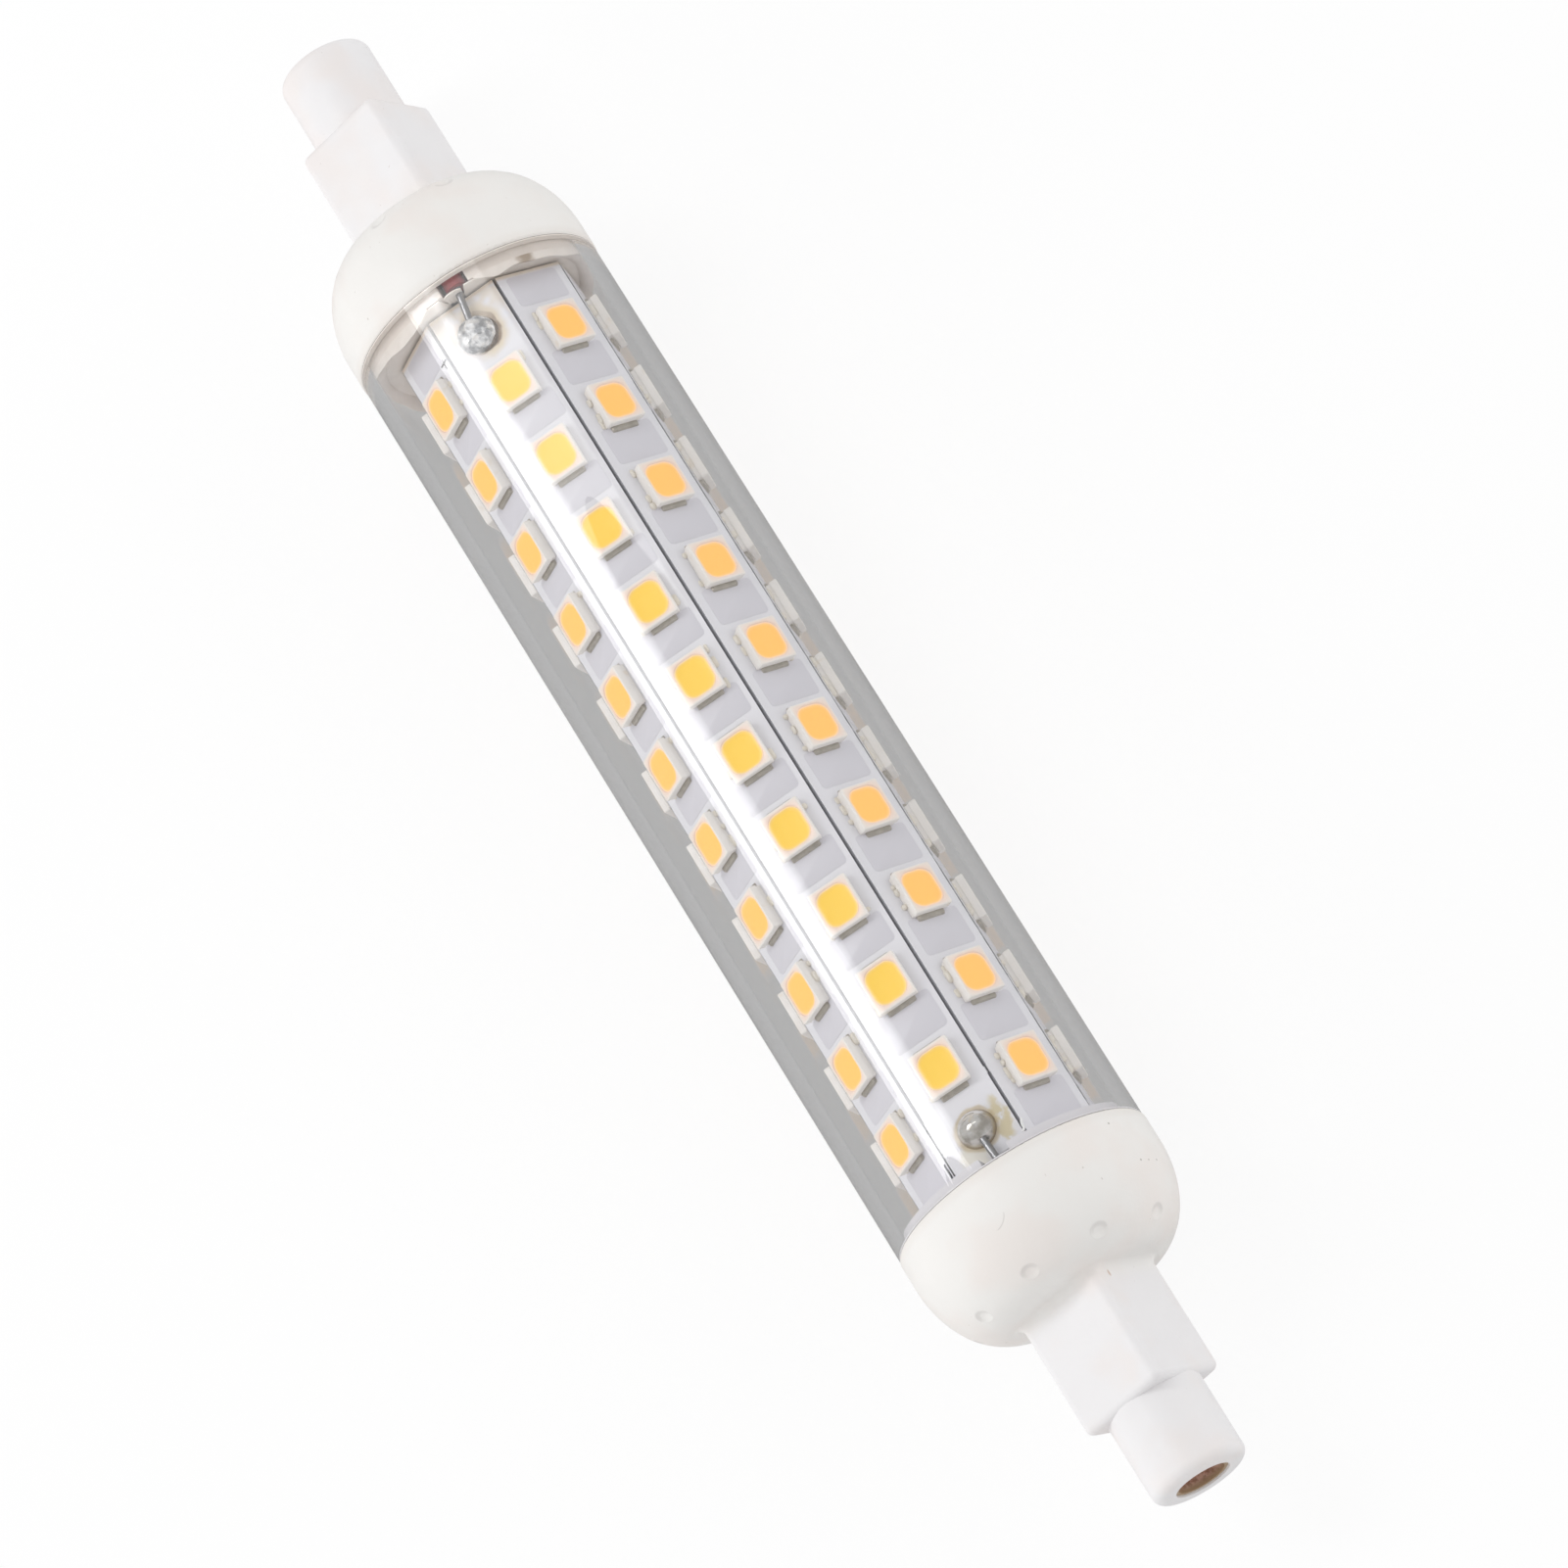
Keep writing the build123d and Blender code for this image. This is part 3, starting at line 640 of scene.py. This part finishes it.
# Copper fields under the mask, raised by the foil's thickness, between one LED and the next
def add_pours(builder, row):
    places = led_places(row)
    side = FIRST_ROW_SIDE if row == 0 else 0
    edges = [BOARD_START + 0.3] + [x + LED_LENGTH / 2 - 0.1 for x in places]
    ends = [x - LED_LENGTH / 2 - 0.7 for x in places] + [BOARD_END - 0.3]
    for i, (start, end) in enumerate(zip(edges, ends)):
        if row == 0 and i in (0, len(places)):
            continue
        length = end - start
        if length < SHORTEST_POUR:
            continue
        place = facet_place(row) @ Matrix.Translation(((start + end) / 2, side * 0.5 + 0.1, BOARD_APOTHEM))
        rings = [
            rounded_ring(length, POUR_WIDTH, POUR_CORNER, 0.002, 4),
            rounded_ring(length, POUR_WIDTH, POUR_CORNER, POUR_HEIGHT - 0.008, 4),
            rounded_ring(length - 0.04, POUR_WIDTH - 0.04, POUR_CORNER - 0.02, POUR_HEIGHT, 4),
        ]
        builder.loft(rings, place, close_start=False)


pours = Builder()
for row in range(FACETS):
    add_pours(pours, row)
pours.piece("board_pours", pour_mask, "board_mask", sharp=40)


# Plain polarity signs beside the two joints
def add_bar(builder, place, length, width):
    rings = [rounded_ring(length, width, width * 0.45, height, 3) for height in (0.003, INK_HEIGHT)]
    builder.loft(rings, place, close_start=False)


ink = plastic("sign_ink", (74, 74, 80), 0.5, 0.2, 0.004)
signs = Builder()
left = facet_place(7) @ Matrix.Translation((0, 0, BOARD_APOTHEM))
across = Matrix.Rotation(math.radians(90), 4, "Z")
add_bar(signs, left @ Matrix.Translation(MINUS_SIGN_PLACE), *MINUS_SIGN_SIZE)
add_bar(signs, left @ Matrix.Translation(PLUS_SIGN_PLACE), *PLUS_SIGN_SIZE)
upper_bar = left @ Matrix.Translation(PLUS_SIGN_PLACE) @ Matrix.Translation((0, 0, 0.001)) @ across
add_bar(signs, upper_bar, *PLUS_SIGN_SIZE)
signs.piece("polarity_signs", ink, "board_mask")


def tube_along(builder, points, radii, steps=8):
    """A round strand through points, in millimetres."""
    rings = []
    for i, (point, radius) in enumerate(zip(points, radii)):
        before = Vector(points[max(i - 1, 0)])
        after = Vector(points[min(i + 1, len(points) - 1)])
        turn = (after - before).to_track_quat("Z", "Y").to_matrix()
        ring = [Vector((radius * math.cos(a), radius * math.sin(a), 0))
                for a in (2 * math.pi * k / steps for k in range(steps))]
        rings.append([turn @ p + Vector(point) for p in ring])
    builder.loft(rings, Matrix.Identity(4))


# Burnt flux round the plus joint's lower side, and a stray thread at the minus end
def add_crescent(builder, start, end, reach, thickness):
    points, radii = [], []
    for i in range(BURNT_STEPS + 1):
        share = i / BURNT_STEPS
        angle = math.radians(start + (end - start) * share)
        points.append((PLUS_JOINT[0] + reach * math.cos(angle), PLUS_JOINT[1] + reach * math.sin(angle),
                       PLUS_JOINT[2] + 0.06))
        radii.append(0.03 + thickness * math.sin(math.pi * share) * rng.uniform(0.75, 1.1))
    tube_along(builder, points, radii)


burnt = Builder()
add_crescent(burnt, -4, 62, 1.36, 0.17)
add_crescent(burnt, 40, 108, 1.38, 0.09)
burnt.piece("burnt_flux", plastic("flux_burnt", (96, 76, 54), 0.25, 0.3, 0.01, 30), "solder", sharp=60)


thread = Builder()
tube_along(thread, THREAD_POINTS, [THREAD_RADIUS] * len(THREAD_POINTS))
thread.piece("stray_thread", plastic("thread_white", (244, 244, 242), 0.6, 0.1, 0.01), "white_insulation")


# Sealant in the corner between the plus cap's lip and the tube, uneven and open at the lead
def add_bead(builder):
    gap = math.radians(BEAD_GAP_ANGLE)
    lead = math.asin(LEAD_SIDE / TUBE_RADIUS)
    loops = []
    for i in range(BEAD_STEPS + 1):
        turned = gap + (2 * math.pi - 2 * gap) * i / BEAD_STEPS
        near_end = min(turned - gap, 2 * math.pi - gap - turned)
        waves = sum(height * math.sin(count * turned + phase) for height, count, phase in BEAD_WAVES)
        reach = BEAD_REACH + waves
        reach *= 0.2 + 0.8 * min(1.0, near_end / math.radians(BEAD_TAPER_ANGLE))
        profile = [(share * reach, radius) for share, radius in BEAD_PROFILE]
        profile = [(-0.01, BEAD_PROFILE[0][1] - 0.08)] + profile + [(-0.01, BEAD_PROFILE[-1][1])]
        place = Matrix.Rotation(-lead - turned, 4, "X")
        loops.append(builder.ring([Vector((-LIP_FACE + x, 0, r)) for x, r in profile], place))
    for first, second in zip(loops, loops[1:]):
        builder.bridge(second, first)
    builder.cap(loops[0])
    builder.cap(loops[-1], flip=True)


# A thin collar of sealant at one end of the tube or the board
def add_collar(builder, start, end, inner, outer):
    loops = []
    for i in range(COLLAR_STEPS):
        turned = 2 * math.pi * i / COLLAR_STEPS
        reach = outer(turned)
        place = Matrix.Rotation(-turned, 4, "X")
        profile = [(start, inner), (end, inner), (end, reach), (start, reach)]
        loops.append(builder.ring([Vector((x, 0, r)) for x, r in profile], place))
    for first, second in zip(loops, loops[1:] + loops[:1]):
        builder.bridge(second, first)


# How far out the sealant behind the board reaches: up to the lip's edge, and under the red sleeve
def behind_board(turned):
    aside = LEAD_HEIGHT * math.sin(turned - math.asin(LEAD_SIDE / LEAD_HEIGHT))
    if abs(aside) > SLEEVE_RADIUS:
        return LIP_REACH
    return LEAD_HEIGHT * math.cos(turned) - math.sqrt(SLEEVE_RADIUS ** 2 - aside ** 2)


def sealant():
    m = Nodes("sealant")
    shade = m.noise(0.8, 3.0)
    plus_colour = m.mix(shade, srgb(244, 237, 230), srgb(226, 217, 208))
    minus_end = m.range(m.axis("X"), -1 * MM, 1 * MM)
    colour = m.mix(minus_end, plus_colour, srgb(226, 224, 226))
    smudge = m.range(m.distance(SMUDGE, (1, 1, 1), 0.4, 0.6), 0.9, 0.3, 0.0, 0.8)
    colour = m.mix(smudge, colour, srgb(150, 128, 104))
    m.set(Base_Color=colour, Roughness=m.range(shade, 0.3, 0.7, 0.3, 0.42))
    m.bump(m.noise(0.5, 2.0), 0.04)
    return m.material


bead = Builder()
add_bead(bead)
sealing = sealant()
bead.piece("sealant_bead", sealing, "cap_ceramic", sharp=50)

films = Builder()
for side in (-1, 1):
    add_collar(films, side * (RIM - 0.1), side * (RIM - 0.02), FILM_INNER, lambda turned: FILM_OUTER)
films.piece("sealant_films", sealing, "cap_ceramic", sharp=30)

fill_behind = Builder()
add_collar(fill_behind, 0.02 - LIP_FACE, 0.12 - LIP_FACE, BEHIND_BOARD_INNER, behind_board)
fill_behind.piece("sealant_behind_board", sealing, "cap_ceramic", sharp=30)

# Materials of the CAD nodes
give(tube_glass(), "clear_tube")
give(ceramic(), "plus_end_cap", "minus_end_cap")
give(contact(), "plus_contact_cup", "minus_contact_cup")
give(mask, "led_board")
give(dull_solder(), "plus_board_solder_joint")
give(bright_solder(), "minus_board_solder_joint")
give(metal("solder_driver", (170, 170, 168), (130, 130, 128), 0.3, 0.6, 0.03), "driver_solder_joints")
for end in ("plus", "minus"):
    for side in ("output", "input"):
        wire = metal(f"wire_{end}_{side}", (176, 176, 178), (126, 126, 128), 0.28, 0.5, 0.01)
        give(wire, f"{end}_{side}_conductor")
    give(plastic(f"sleeve_white_{end}", (226, 226, 224), 0.38), f"{end}_input_insulation")
give(plastic("sleeve_red", (170, 32, 36), 0.4, 0.5, 0.01, 26), "plus_output_insulation")
give(plastic("sleeve_black", (40, 40, 42), 0.36), "minus_output_insulation")
give(plastic("laminate_green", (44, 104, 62), 0.42, 0.6), "driver_board")
give(plastic("chip_black", (44, 44, 46), 0.5, 0.15), "bridge_rectifier", "driver_chip", "chip_resistors")
give(plastic("sleeve_dark", (52, 58, 84), 0.3, 0.8), "smoothing_capacitor")
give(plastic("ferrite_grey", (72, 72, 76), 0.6, 0.15, 0.02), "choke_core")
give(metal("winding_copper", (190, 118, 78), (150, 84, 52), 0.3, 0.3, 0.03), "choke_winding")
give(plastic("resistor_blue", (132, 160, 156), 0.4, 0.3), "fuse_resistor")


# Floor and world: the camera sees them white, metal and glass see them as pale grey paper
def make_floor(level):
    bpy.ops.mesh.primitive_plane_add(size=FLOOR_SIZE, location=(0, 0, -(TUBE_RADIUS + 0.08) * MM))
    floor = bpy.context.object
    floor.name = "floor"
    m = Nodes("floor_paper")
    ray = m.tree.nodes.new("ShaderNodeLightPath")
    seen = m.math("ADD", ray.outputs["Is Glossy Ray"], ray.outputs["Is Transmission Ray"])
    seen = m.math("ADD", seen, ray.outputs["Is Camera Ray"], clamp=True)
    strength = m.range(ray.outputs["Is Camera Ray"], 0.0, 1.0, level, 1.0, smooth=False)
    paper = m.add("ShaderNodeBsdfDiffuse", Color=(0.96, 0.96, 0.96))
    white = m.add("ShaderNodeEmission", Color=(1, 1, 1), Strength=strength)
    mixer = m.tree.nodes.new("ShaderNodeMixShader")
    m.put(mixer.inputs[0], m.math("MULTIPLY", seen, 0.85))
    m.put(mixer.inputs[1], paper.outputs[0])
    m.put(mixer.inputs[2], white.outputs[0])
    m.put(m.output.inputs["Surface"], mixer.outputs[0])
    floor.data.materials.append(m.material)


def make_world(fill, level):
    world = bpy.data.worlds.new("studio")
    bpy.context.scene.world = world
    world.use_nodes = True
    tree = world.node_tree
    background = tree.nodes["Background"]
    background.inputs["Color"].default_value = (1, 1, 1, 1)
    ray = tree.nodes.new("ShaderNodeLightPath")
    value = fill
    levels = (("Is Glossy Ray", level), ("Is Transmission Ray", level), ("Is Camera Ray", 1.0))
    for name, strength in levels:
        step = tree.nodes.new("ShaderNodeMapRange")
        tree.links.new(ray.outputs[name], step.inputs["Value"])
        if isinstance(value, float):
            step.inputs["To Min"].default_value = value
        else:
            tree.links.new(value, step.inputs["To Min"])
        step.inputs["To Max"].default_value = strength
        value = step.outputs["Result"]
    tree.links.new(value, background.inputs["Strength"])


def soft_box(name, place, along, across, radiance, mirrored):
    """A rectangular lamp that faces the object; its first side runs along the lamp's axis."""
    data = bpy.data.lights.new(name, "AREA")
    data.shape = "RECTANGLE"
    data.size = along
    data.size_y = across
    data.energy = radiance * math.pi * along * across
    lamp = bpy.data.objects.new(name, data)
    bpy.context.scene.collection.objects.link(lamp)
    back = Vector(place).normalized()
    side = (Vector((1, 0, 0)) - back * back.x).normalized()
    up = back.cross(side)
    lamp.matrix_world = Matrix.Translation(place) @ Matrix((side, up, back)).transposed().to_4x4()
    lamp.visible_glossy = mirrored
    lamp.visible_transmission = mirrored


make_floor(FLOOR_LEVEL)
make_world(WORLD_FILL, WORLD_LEVEL)
for start, end, radiance in zip(KEY_EDGES, KEY_EDGES[1:], KEY_RADIANCES):
    turn = math.radians((start + end) / 2)
    across = KEY_DISTANCE * math.radians(end - start)
    place = (KEY_SHIFT, KEY_DISTANCE * math.sin(turn), KEY_DISTANCE * math.cos(turn))
    soft_box("key", place, KEY_LENGTH, across, radiance, True)
soft_box("right_fill", (0.05, 1.1, 0.45), FILL_LAMP_SIDE, FILL_LAMP_SIDE, 1.4, False)
soft_box("left_fill", (0.05, -1.15, 0.3), FILL_LAMP_SIDE, FILL_LAMP_SIDE, 2.0, False)
soft_box("upper_glow", (-0.275, 0.05, 0.54), 0.06, 0.5, 1.6, True)

# Camera at the photograph's place
camera_data = bpy.data.cameras.new("camera")
camera_data.lens = CAMERA_LENS
camera_data.sensor_width = CAMERA_SENSOR
camera_data.clip_start = CAMERA_CLIP
camera = bpy.data.objects.new("camera", camera_data)
bpy.context.scene.collection.objects.link(camera)
right = Vector(CAMERA_RIGHT).normalized()
back = Vector(CAMERA_BACK).normalized()
up = back.cross(right).normalized()
right = up.cross(back)
camera.matrix_world = Matrix.Translation(CAMERA_PLACE) @ Matrix((right, up, back)).transposed().to_4x4()
bpy.context.scene.camera = camera
bpy.context.scene.view_settings.view_transform = "Standard"
